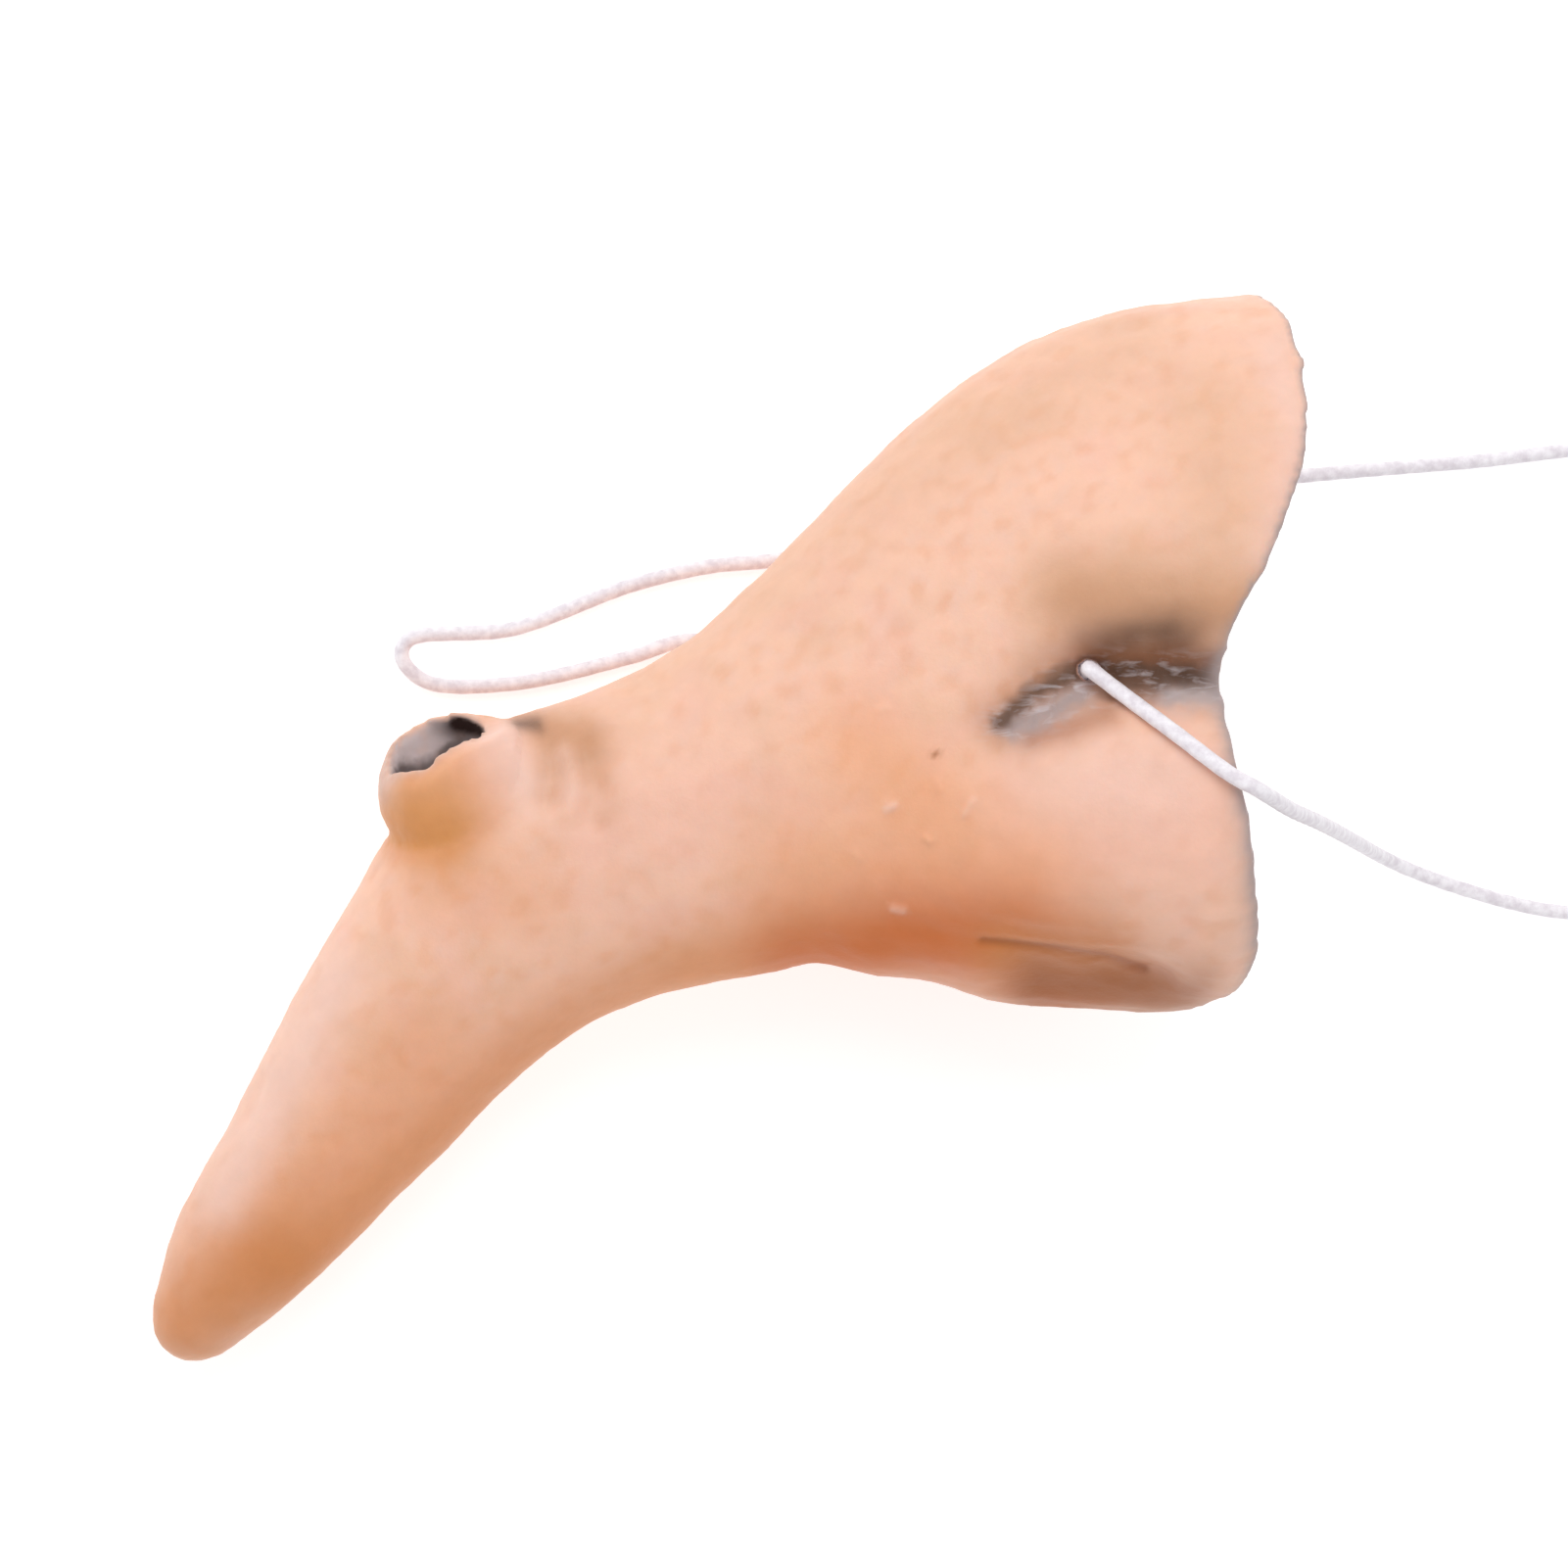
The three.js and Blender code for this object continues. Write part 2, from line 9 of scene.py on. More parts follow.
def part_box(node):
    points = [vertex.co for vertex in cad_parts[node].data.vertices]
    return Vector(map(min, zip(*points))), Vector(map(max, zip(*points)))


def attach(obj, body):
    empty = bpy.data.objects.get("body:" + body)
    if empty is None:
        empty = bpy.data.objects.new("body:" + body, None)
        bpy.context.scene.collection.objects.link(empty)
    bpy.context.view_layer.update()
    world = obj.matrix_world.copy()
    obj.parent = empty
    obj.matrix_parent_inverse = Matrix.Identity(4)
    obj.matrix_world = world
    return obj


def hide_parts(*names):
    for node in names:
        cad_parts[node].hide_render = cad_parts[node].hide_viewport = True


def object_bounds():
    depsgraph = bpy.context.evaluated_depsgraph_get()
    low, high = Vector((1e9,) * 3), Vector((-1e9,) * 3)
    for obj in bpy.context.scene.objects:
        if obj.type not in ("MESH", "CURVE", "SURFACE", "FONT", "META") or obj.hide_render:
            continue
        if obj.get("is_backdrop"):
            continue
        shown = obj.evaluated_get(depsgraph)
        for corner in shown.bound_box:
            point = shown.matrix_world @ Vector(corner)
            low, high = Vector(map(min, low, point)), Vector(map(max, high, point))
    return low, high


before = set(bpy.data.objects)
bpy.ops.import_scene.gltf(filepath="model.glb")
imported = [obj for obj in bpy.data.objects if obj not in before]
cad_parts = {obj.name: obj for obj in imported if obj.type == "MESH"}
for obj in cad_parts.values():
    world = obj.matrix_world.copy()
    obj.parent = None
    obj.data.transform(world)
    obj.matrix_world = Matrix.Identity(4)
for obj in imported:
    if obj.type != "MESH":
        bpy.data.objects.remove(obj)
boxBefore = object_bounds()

# A long latex costume nose on a thin elastic, lying on its right cheek.
# The nose's own directions: along runs from the tip back to the face, up goes up the bridge,
# and out comes out of the left cheek. Its places and sizes below are in millimetres.

mm = 0.001

# The nose's directions as it lies, and where its own zero is.
lay = {
    "along": (0.975099, 0.010042, 0.221544),
    "up": (0.010042, 0.995951, -0.089340),
    "out": (-0.221544, 0.089340, 0.971049),
    "start": (-62.18255, -20.14251, 5.11654),
}

view = {
    "aim": (67.935, 24.15, 0),  # the spot on the nose's middle plane that the picture centres on
    "distance": 450,
    "width": 168.1,  # how much of that plane the picture's width takes in
    "sensor": 36,
}

axes = np.array([lay["along"], lay["up"], lay["out"]])


def toNose(points):
    return (points - np.array(lay["start"])) @ axes.T


def fromNose(points):
    return np.asarray(points) @ axes + np.array(lay["start"])


def linear(colour):
    out = []
    for c in colour:
        out.append(c / 12.92 if c <= 0.04045 else ((c + 0.055) / 1.055) ** 2.4)
    return out


def addCamera():
    data = bpy.data.cameras.new("camera")
    camera = bpy.data.objects.new("camera", data)
    bpy.context.collection.objects.link(camera)
    data.sensor_fit = "HORIZONTAL"
    data.sensor_width = view["sensor"]
    data.lens = view["sensor"] * view["distance"] / view["width"]
    data.clip_start = 0.01
    data.clip_end = 20
    along, up, out = axes
    spot = fromNose(view["aim"]) + out * view["distance"]
    turn = Matrix((along, up, out)).transposed().to_4x4()
    camera.matrix_world = Matrix.Translation(Vector(spot * mm)) @ turn
    bpy.context.scene.camera = camera


addCamera()
print("camera set")


elastic = {
    "diameter": 1.6,
    "length": 440.6,
    "lift": 0.9,  # its middle over the ground
    "step": 0.3,
    "sides": 20,
    "strands": 8,
    "relief": 0.07,  # depth of the hollows between its strands, as a share of its radius
    "fullness": 1.03,  # radius out to its strands' tops, as a share of its radius
    "wing": (101, 118),  # where along the nose it lies on the wing
    "wingOut": 20,
    "wingDrop": 0.45,  # how much closer it lies there than its plain tube
    "landing": 80.5,  # how far along the ground it comes down
    "landingReach": 13,  # and how far, and in how many rounds, that bend is evened
    "landingRounds": 220,
}

# From the knot inside the right cheek, along the ground, round behind, and over the wing to the
# left hole. In millimetres, on the ground and up from it.
elasticRoute = [
    (38.53, 15.08, 7.68), (39.04, 14.88, 5.45), (39.39, 14.74, 3.91), (39.66, 14.63, 2.74),
    (37.25, 15.05, 0.9), (8.75, 17.28, 0.9), (-2.75, 19.05, 0.9), (-9.38, 17.2, 0.9),
    (-22.5, 14.36, 0.9), (-32.0, 14.67, 0.9), (-34.62, 17.36, 0.9), (-33.88, 19.2, 0.9),
    (-22.5, 20.35, 0.9), (-9.38, 25.11, 0.9), (-0.62, 27.19, 0.9), (7.12, 27.96, 0.9),
    (31.25, 32.64, 0.9), (50.0, 35.64, 0.9), (86.5, 39.17, 0.9), (115.0, 40.7, 0.9),
    (128.75, 33.02, 0.9), (135.62, 19.2, 0.9), (134.38, 3.84, 0.9), (125.0, -7.68, 0.9),
    (112.5, -12.29, 0.9), (101.25, -12.9, 0.9), (82.88, -8.06, 0.9), (79.88, -6.6, 0.9),
    (76.62, -5.3, 5.58), (68.62, -2.2, 18.89), (58.12, 1.65, 36.88), (50.38, 4.38, 48.9),
    (43.85, 7.33, 56.82), (41.67, 8.53, 56.21), (36.39, 12.82, 52.73), (31.85, 16.94, 46.58),
    (29.92, 18.55, 45.39), (30.28, 18.41, 43.84), (30.63, 18.27, 42.3), (31.14, 18.06, 40.06),
]


# A smooth line through points, as even steps of about the gap given.
def smoothLine(points, gap, legSteps=40):
    p = np.array(points, float)
    p = np.vstack([2 * p[0] - p[1], p, 2 * p[-1] - p[-2]])
    line = []
    for i in range(1, len(p) - 2):
        a, b, c, d = p[i - 1 : i + 3]
        t1 = np.linalg.norm(b - a) ** 0.5
        t2 = t1 + np.linalg.norm(c - b) ** 0.5
        t3 = t2 + np.linalg.norm(d - c) ** 0.5
        t = np.linspace(t1, t2, legSteps, endpoint=False)[:, None]
        ab = a + (b - a) * t / t1
        bc = b + (c - b) * (t - t1) / (t2 - t1)
        cd = c + (d - c) * (t - t2) / (t3 - t2)
        abc = ab + (bc - ab) * t / t2
        bcd = bc + (cd - bc) * (t - t1) / (t3 - t1)
        line.append(abc + (bcd - abc) * (t - t1) / (t2 - t1))
    line = np.vstack(line + [p[-2][None]])
    return evenSteps(line, gap)


def evenSteps(line, gap):
    reach = np.concatenate([[0], np.cumsum(np.linalg.norm(np.diff(line, axis=0), axis=1))])
    steps = max(2, round(reach[-1] / gap))
    at = np.linspace(0, reach[-1], steps + 1)
    return np.stack([np.interp(at, reach, line[:, k]) for k in range(3)], axis=1)


# Two directions across a line at each of its points, carried along it without a twist.
def acrossLine(line):
    ahead = np.gradient(line, axis=0)
    ahead /= np.linalg.norm(ahead, axis=1)[:, None]
    side = np.cross(ahead[0], (0.3, 0.2, 0.93))  # from any direction that no line here starts along
    sides = []
    for direction in ahead:
        side = side - direction * side.dot(direction)
        side = side / np.linalg.norm(side)
        sides.append(side)
    sides = np.array(sides)
    return sides, np.cross(ahead, sides)


# Points and faces of a tube round a line. width gives its radius at each step and turn.
def tube(line, sides, width):
    first, second = acrossLine(line)
    angle = np.linspace(0, 2 * math.pi, sides, endpoint=False)
    steps = np.arange(len(line))
    radius = width(steps[:, None], angle[None, :])
    cosine, sine = np.cos(angle)[None, :, None], np.sin(angle)[None, :, None]
    ring = first[:, None] * cosine + second[:, None] * sine
    points = (line[:, None] + ring * radius[..., None]).reshape(-1, 3)
    faces = []
    for i in range(len(line) - 1):
        for j in range(sides):
            k = (j + 1) % sides
            faces.append((i * sides + j, i * sides + k, (i + 1) * sides + k, (i + 1) * sides + j))
    faces.append(tuple(range(sides))[::-1])
    last = (len(line) - 1) * sides
    faces.append(tuple(range(last, last + sides)))
    return points, faces


# The radius of a braided tube: strands cross over and under each other round it.
def braided(radius, step):
    pitch = 2 * math.pi / (radius * 7)
    half = elastic["strands"] / 2
    relief = elastic["relief"]

    def width(i, angle):
        run = i * step * pitch
        one = np.cos(half * angle + run)
        other = np.cos(half * angle - run)
        return radius * (elastic["fullness"] - relief + relief * np.abs(one * other) ** 0.5)

    return width


def plain(radius):
    return lambda i, angle: radius + 0 * i * angle


# One piece with a mesh of all the parts' points and faces.
def meshPiece(name, parts):
    points, faces, start = [], [], 0
    for p, f in parts:
        points.append(p)
        faces += [tuple(i + start for i in face) for face in f]
        start += len(p)
    mesh = bpy.data.meshes.new(name)
    mesh.from_pydata((np.vstack(points) * mm).tolist(), [], faces)
    mesh.validate()
    mesh.shade_smooth()
    piece = bpy.data.objects.new(name, mesh)
    bpy.context.collection.objects.link(piece)
    return piece


# The elastic's middle line, evened where it lands and a little closer on the wing.
def elasticLine():
    line = smoothLine(elasticRoute, elastic["step"])
    line[:, 2] = np.maximum(line[:, 2], elastic["lift"])
    nose = toNose(line)
    wingStart, wingEnd = elastic["wing"]
    overWing = np.clip((nose[:, 2] - elastic["wingOut"]) / 6, 0, 1)
    overWing *= np.clip((wingEnd - nose[:, 0]) / 6, 0, 1)
    overWing *= np.clip((nose[:, 0] - wingStart) / 3, 0, 1)
    landing = np.abs(line[:, 0] - elastic["landing"]) < elastic["landingReach"]
    landing &= line[:, 1] < 0
    for i in range(elastic["landingRounds"]):
        between = (line[:-2] + line[2:]) / 2
        line[1:-1][landing[1:-1]] = between[landing[1:-1]]
    line[:, 2] = np.maximum(line[:, 2], elastic["lift"])
    return evenSteps(line - axes[2] * (overWing * elastic["wingDrop"])[:, None], elastic["step"])


elasticPath = elasticLine()
radius = elastic["diameter"] / 2
cord = meshPiece("elastic", [tube(elasticPath, elastic["sides"], braided(radius, elastic["step"]))])
cordLength = np.linalg.norm(np.diff(elasticPath, axis=0), axis=1).sum()
print("elastic made,", round(float(cordLength), 1), "mm")


knot = {
    "size": 1.4,  # from its middle to the middle of its loops
    "strand": 1.3,  # pulled tight, a little thinner than the elastic
    "sides": 14,
    "tail": 3.2,
    "fibres": 9,
    "fibre": 0.07,  # radius of one fibre of its frayed ends
}


# A trefoil like the plain one it stands for, lying across the out direction inside the cheek.
def trefoil(node):
    low, high = (np.array(c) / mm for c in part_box(node))
    middle = (low + high) / 2
    t = np.linspace(0, 4 * math.pi, 241)
    reach = knot["size"] * (2 + np.cos(1.5 * t)) / 2
    depth = knot["size"] * np.sin(1.5 * t) / 2
    flat = np.stack([reach * np.cos(t), reach * np.sin(t), depth], axis=1)
    return middle + flat @ axes


# A knot in its CAD one's place, with two frayed tails. inward points from the cheek to the hollow.
def makeKnot(name, node, inward):
    line = trefoil(node)
    radius = knot["strand"] / 2
    parts = [tube(line, knot["sides"], braided(radius, 0.12))]
    end = line[0]
    for sign in (1, -1):
        heading = axes[0] * sign * 0.6 + axes[1] * sign * 0.74 + inward * 0.5
        heading = heading / np.linalg.norm(heading)
        bend = inward * 0.6
        halfway = end + heading * knot["tail"] * 0.5 + bend * 0.2
        tail = smoothLine([end, halfway, end + heading * knot["tail"] + bend], 0.2)
        parts.append(tube(tail, knot["sides"], braided(radius * 0.95, 0.2)))
        for i in range(knot["fibres"]):
            turn = 2.4 * i
            spread = np.array([math.cos(turn), math.sin(turn), 0.3 * math.sin(5 * i)]) @ axes
            root = tail[-1] + spread * radius * 0.5 - heading * 0.3
            wisp = [root, root + heading * 0.7 + spread * 0.15, root + heading * 1.1 + spread * 0.5]
            parts.append(tube(smoothLine(wisp, 0.2), 5, plain(knot["fibre"])))
    return meshPiece(name, parts)


leftKnot = makeKnot("elastic_knot_left", "left_knot", -axes[2])
rightKnot = makeKnot("elastic_knot_right", "right_knot", axes[2])
print("knots made")


skin = {
    "cell": 0.765,  # size of its mesh's cells
    "fineAtWart": 10.5,  # how near the wart, the crease or a fine mark they are halved
    "fineAtCrease": 3.6,
    "fineAtMark": 1.2,
    "creaseOut": 13,  # and how far out of the middle plane that begins
    "markOut": 8,
    "smoothing": 30,
    "solidTip": 8,  # where along the nose its hollow ends
    "creaseWrinkle": 0.28,
    "lipWobble": 0.3,
    "deepest": -0.9,  # how far its marks may go in and out
    "highest": 0.6,
}

# The cut edge at the face: how squarely it faces along, where it begins, and how it is softened.
rim = {
    "facing": 0.72,
    "begin": 104,
    "nearby": 98,  # from here on, points are measured from it
    "soft": 1.9,
    "rounds": 12,
}

# Slow unevenness and grain of the latex: size across, height and seed.
ripples = [
    {"size": 5.5, "height": 0.16, "seed": 1},
    {"size": 2.6, "height": 0.08, "seed": 2},
    {"size": 0.9, "height": 0.05, "seed": 3},
]

# Middle of the nose from tip to face, in its along and up directions.
middleLine = [
    (5.5, -32.2), (10.2, -25.6), (16.3, -17.3), (23.2, -7.3), (29.5, 1.2), (34.9, 7.1),
    (40.3, 11.8), (46.6, 15.9), (53.7, 18.4), (60.9, 21.3), (66.9, 24.5), (73.5, 27.5),
    (80.4, 31.0), (87.3, 33.3), (94.7, 35.9), (103.0, 37.6), (118.0, 38.6),
]

wart = {
    "middle": (33.08, 23.42, 4.0),
    "axis": (-0.331, 0.781, 0.530),
    "radius": 8.1,
    "floor": -1.0,  # height of its crater's floor over the middle
    "lip": 5.7,  # height of its lip
    "bowl": 5.3,  # radius of its crater
    "shoulder": (35.7, 22.9, 5.2),  # middle of the round shoulder on its face side
    "shoulderRadius": 7.7,
    "blend": 1.7,  # how softly the shoulder runs out into the cheek
    "farRise": 0.6,  # how far the lip's far side stands up
    "capRise": 2.0,  # how far the lip's near side stands up
    "capLean": 1.0,  # and leans in over the crater
}

# Paths on the cheek, seen from the side: the crease, the fold in it, and the nostril's fold.
creasePath = [(90.4, 30.3), (93.9, 32.9), (98.5, 35.1), (112.5, 34.8)]
foldLine = [
    (90.1, 30.5), (93.3, 33.4), (97.3, 35.4), (99.2, 36.0), (102.4, 35.8), (107.5, 35.5),
    (111.8, 35.0),
]
nostrilLine = [(88.5, 8.0), (96.8, 7.2), (101.3, 6.6), (105.7, 5.0)]

# Marks in the skin. path is in along and up, seen from the side, and reach is half a width.
# Where one is fine, the cells are halved for it.
marks = [
    # scar and streak down the tip
    {"path": [(12.4, -7.2), (10.9, -10.8)], "reach": 0.9, "height": -0.5},
    {"path": [(27.6, -2.6), (28.8, -5.2)], "reach": 0.5, "height": 0.22},
    # fold and dents beside the wart
    {"path": [(44.8, 27.6), (46.0, 25.0), (45.6, 21.0)], "reach": 1.1, "height": 0.4},
    {"path": [(42.6, 29.8), (43.3, 26.3), (43.0, 22.5)], "reach": 1.2, "height": -0.6},
    {"path": [(47.6, 26.0), (48.5, 23.5), (48.0, 20.5)], "reach": 1.4, "height": -0.45},
    # nostril's fold
    {"path": nostrilLine, "reach": 0.45, "height": -0.25, "fine": True},
    # pimples
    {"path": [(78.5, 21.6), (79.3, 21.9)], "reach": 0.4, "height": 0.4, "fine": True},
    {"path": [(82.4, 18.6), (83.0, 18.2)], "reach": 0.35, "height": 0.35, "fine": True},
    {"path": [(86.5, 21.0), (87.3, 22.4)], "reach": 0.35, "height": 0.3, "fine": True},
    {"path": [(79.3, 11.4), (80.3, 11.2)], "reach": 0.4, "height": 0.4, "fine": True},
    {"path": [(77.5, 31.7), (78.6, 31.9)], "reach": 0.5, "height": 0.2, "fine": True},
    {"path": [(83.6, 24.4), (83.9, 23.6)], "reach": 0.4, "height": 0.2, "fine": True},
    {"path": [(75.2, 17.0), (75.7, 16.5)], "reach": 0.4, "height": 0.2, "fine": True},
    # wrinkles on the wing's lobe
    {"path": [(101.5, 66.4), (105.6, 64.2), (108, 60.6)], "reach": 0.8, "height": -0.2},
    {"path": [(104.5, 69.2), (109.4, 66), (112, 61.4)], "reach": 0.8, "height": -0.2},
    {"path": [(107, 57.5), (111.5, 54.6), (113.6, 50.6)], "reach": 0.8, "height": -0.2},
    {"path": [(103, 54.6), (106.5, 51.6)], "reach": 0.7, "height": -0.15},
    {"path": [(112.6, 66.5), (115.4, 61)], "reach": 0.8, "height": -0.15},
]

# Small shifts of the outline: over the reach round a path, in the along and up directions.
trims = [
    {"path": [(117.6, 4.9), (117.8, 12)], "reach": 4, "shift": (-0.8, 0.3)},  # round lower corner
    {"path": [(123.2, 67), (123.4, 62)], "reach": 4, "shift": (-0.4, 0)},  # lobe's rear
    {"path": [(120.6, 73.2), (121.5, 71.5)], "reach": 3, "shift": (0.4, 0.25)},  # lobe's top
    {"path": [(53, 36), (58, 41)], "reach": 4, "shift": (0.3, -0.55)},  # bridge
    {"path": [(76, 5), (94, 1), (106, 0.5)], "reach": 5, "shift": (0, -0.45)},  # underside
]


# 1 at a distance of 0, fading softly away over the reach.
def fall(distance, reach):
    return np.exp(-((distance / reach) ** 2))


# 0 up to low, 1 from high on, and a soft rise between them.
def ramp(value, low, high):
    share = np.clip((value - low) / (high - low), 0, 1)
    return share * share * (3 - 2 * share)


# The nearest places on a path to points, and how far off they are.
def nearestOn(points, path):
    best = np.full(len(points), np.inf)
    spot = np.zeros((len(points), 2))
    path = np.array(path, float)
    for start, end in zip(path[:-1], path[1:]):
        leg = end - start
        part = np.clip((points - start) @ leg / (leg @ leg), 0, 1)
        near = start + part[:, None] * leg
        distance = np.linalg.norm(points - near, axis=1)
        closer = distance < best
        best[closer] = distance[closer]
        spot[closer] = near[closer]
    return spot, best


def awayFrom(points, path):
    return nearestOn(points, path)[1]


# Seeded noise at points, from about -1 to 1.
def noiseAt(points, size, seed):
    shift = Vector((seed * 13.7, seed * 5.1, seed * 9.3))
    return np.array([noise.noise(Vector(p) / size + shift) for p in points])


# The plain solid as an even mesh of small cells.
def fineMesh(node):
    source = bpy.data.objects[node]
    copy = bpy.data.objects.new("copy", source.data.copy())
    bpy.context.collection.objects.link(copy)
    copy.matrix_world = source.matrix_world
    remesh = copy.modifiers.new("cells", "REMESH")
    remesh.mode = "VOXEL"
    remesh.voxel_size = skin["cell"] * mm
    evaluated = copy.evaluated_get(bpy.context.evaluated_depsgraph_get())
    mesh = bpy.data.meshes.new_from_object(evaluated)
    bpy.data.objects.remove(copy)
    return mesh


def readPoints(mesh):
    flat = np.empty(len(mesh.vertices) * 3)
    mesh.vertices.foreach_get("co", flat)
    return flat.reshape(-1, 3) / mm


def writePoints(mesh, points):
    mesh.vertices.foreach_set("co", (points * mm).ravel())
    mesh.update()


def normalsOf(mesh):
    flat = np.empty(len(mesh.vertices) * 3)
    mesh.vertex_normals.foreach_get("vector", flat)
    return flat.reshape(-1, 3)


# Pulls the cells' corners back onto the plain solid, so that its rim stays even.
def ontoSolid(node, points):
    solid = bpy.data.objects[node].data
    corners = [v.co for v in solid.vertices]
    tree = BVHTree.FromPolygons(corners, [face.vertices for face in solid.polygons])
    return np.array([tree.find_nearest(Vector(point * mm))[0] for point in points]) / mm


# Evens out the cells without shrinking the shape. With back at 0 it softens edges instead.
def smooth(mesh, points, rounds, share=1, back=-0.52):
    ends = np.empty(len(mesh.edges) * 2, int)
    mesh.edges.foreach_get("vertices", ends)
    a, b = ends.reshape(-1, 2).T
    count = np.bincount(a, minlength=len(points)) + np.bincount(b, minlength=len(points))
    for i in range(rounds * 2):
        total = np.zeros_like(points)
        for k in range(3):
            total[:, k] = np.bincount(a, points[b, k], len(points))
            total[:, k] += np.bincount(b, points[a, k], len(points))
        points = points + (total / count[:, None] - points) * (0.5 if i % 2 == 0 else back) * share
    return points


# Where each point of the skin is. crater, hollow, lip and side are shares from 0 to 1, height and
# aside go along and across the wart's axis, and what ends in Away, and crease, are distances.
def whereOnNose(nose, normal):
    spot, _ = nearestOn(nose[:, :2], middleLine)
    outward = nose - np.column_stack([spot, np.zeros(len(nose))])
    outward /= np.linalg.norm(outward, axis=1)[:, None]
    facing = (normal * outward).sum(1)
    axis = np.array(wart["axis"])
    axis = axis / np.linalg.norm(axis)
    fromWart = nose - np.array(wart["middle"])
    height = fromWart @ axis
    aside = np.linalg.norm(fromWart - height[:, None] * axis, axis=1)
    crater = ramp(wart["bowl"] + 0.3 - aside, 0, 0.5)
    crater *= ramp(height, wart["floor"], wart["floor"] + 0.4)
    crater *= ramp(wart["lip"] - height, 0, 0.5)
    hollow = ((facing < 0) & (crater < 0.5) & (nose[:, 0] > skin["solidTip"])).astype(float)
    return {
        "facing": facing,
        "crater": crater,
        "hollow": hollow,
        "lip": fall(aside - wart["bowl"], 0.9) * fall(height - wart["lip"], 0.9),
        "crease": awayFrom(nose[:, :2], creasePath),
        "side": ramp(np.abs(normal[:, 2]), 0.1, 0.5),
        "height": height,
        "aside": aside,
        "fromWart": fromWart / np.linalg.norm(fromWart, axis=1)[:, None],
        "wartAway": np.linalg.norm(fromWart, axis=1) - wart["radius"],
        "rimAway": rimDistance(nose, normal),
    }


# How far each point of the skin near the face is from the rim's cut edge.
def rimDistance(nose, normal):
    distance = np.full(len(nose), 99.0)  # far off
    edge = np.flatnonzero((normal[:, 0] > rim["facing"]) & (nose[:, 0] > rim["begin"]))
    tree = kdtree.KDTree(len(edge))
    for i, point in enumerate(nose[edge]):
        tree.insert(point, i)
    tree.balance()
    for i in np.flatnonzero(nose[:, 0] > rim["nearby"]):
        distance[i] = tree.find(nose[i])[2]
    return distance


# Halves the cells round the wart, in the crease and at fine marks.
def refine(mesh):
    nose = toNose(readPoints(mesh))
    out = np.abs(nose[:, 2])
    chosen = np.linalg.norm(nose - np.array(wart["middle"]), axis=1) < skin["fineAtWart"]
    crease = awayFrom(nose[:, :2], creasePath)
    chosen |= (crease < skin["fineAtCrease"]) & (out > skin["creaseOut"])
    for mark in marks:
        if mark.get("fine"):
            away = awayFrom(nose[:, :2], mark["path"])
            chosen |= (away < skin["fineAtMark"]) & (out > skin["markOut"])
    form = bmesh.new()
    form.from_mesh(mesh)
    form.verts.ensure_lookup_table()
    edges = [e for e in form.edges if chosen[e.verts[0].index] and chosen[e.verts[1].index]]
    bmesh.ops.subdivide_edges(form, edges=edges, cuts=1, use_grid_fill=True)
    form.to_mesh(mesh)
    form.free()


# Rounds the wart's shoulder out of the cheek, and raises the near side of its lip like a torn cap.
# turn goes round the wart in degrees, from the side that faces out.
def shapeWart(nose, place):
    axis = np.array(wart["axis"])
    towards = np.array([0, 0, 1]) - axis * axis[2]
    towards /= np.linalg.norm(towards)
    aside = np.cross(axis, towards)
    turn = np.degrees(np.arctan2(place["fromWart"] @ aside, place["fromWart"] @ towards))
    free = (1 - place["hollow"]) * (1 - place["crater"])
    free = free * ramp(wart["lip"] - place["height"], 0.2, 1.6)
    fromMiddle = nose - np.array(wart["shoulder"])
    away = np.linalg.norm(fromMiddle, axis=1)
    inside = wart["shoulderRadius"] - away
    push = (inside + np.hypot(inside, wart["blend"])) / 2 * ramp(inside, -6, -2)
    push *= free * ramp(nose[:, 2], 0, 4) * (place["facing"] > -0.3)
    nose = nose + fromMiddle / away[:, None] * push[:, None]
    onLip = ramp(place["height"], -0.5, 5.4) * ramp(place["aside"], 2.5, 5.0)
    onLip = onLip * (place["wartAway"] < 1)
    near = (fall(turn - 20, 42) + 0.4 * fall(turn + 45, 25)) * onLip
    far = ramp(-np.cos(np.radians(turn)), 0.2, 1) * onLip
    nose = nose + (axis * wart["capRise"] - towards * wart["capLean"]) * near[:, None]
    return nose + axis * wart["farRise"] * far[:, None]


def trimOutline(nose):
    moved = nose.copy()
    for trim in trims:
        away = awayFrom(nose[:, :2], trim["path"])
        moved[:, :2] += np.array(trim["shift"]) * fall(away, trim["reach"])[:, None]
    return moved


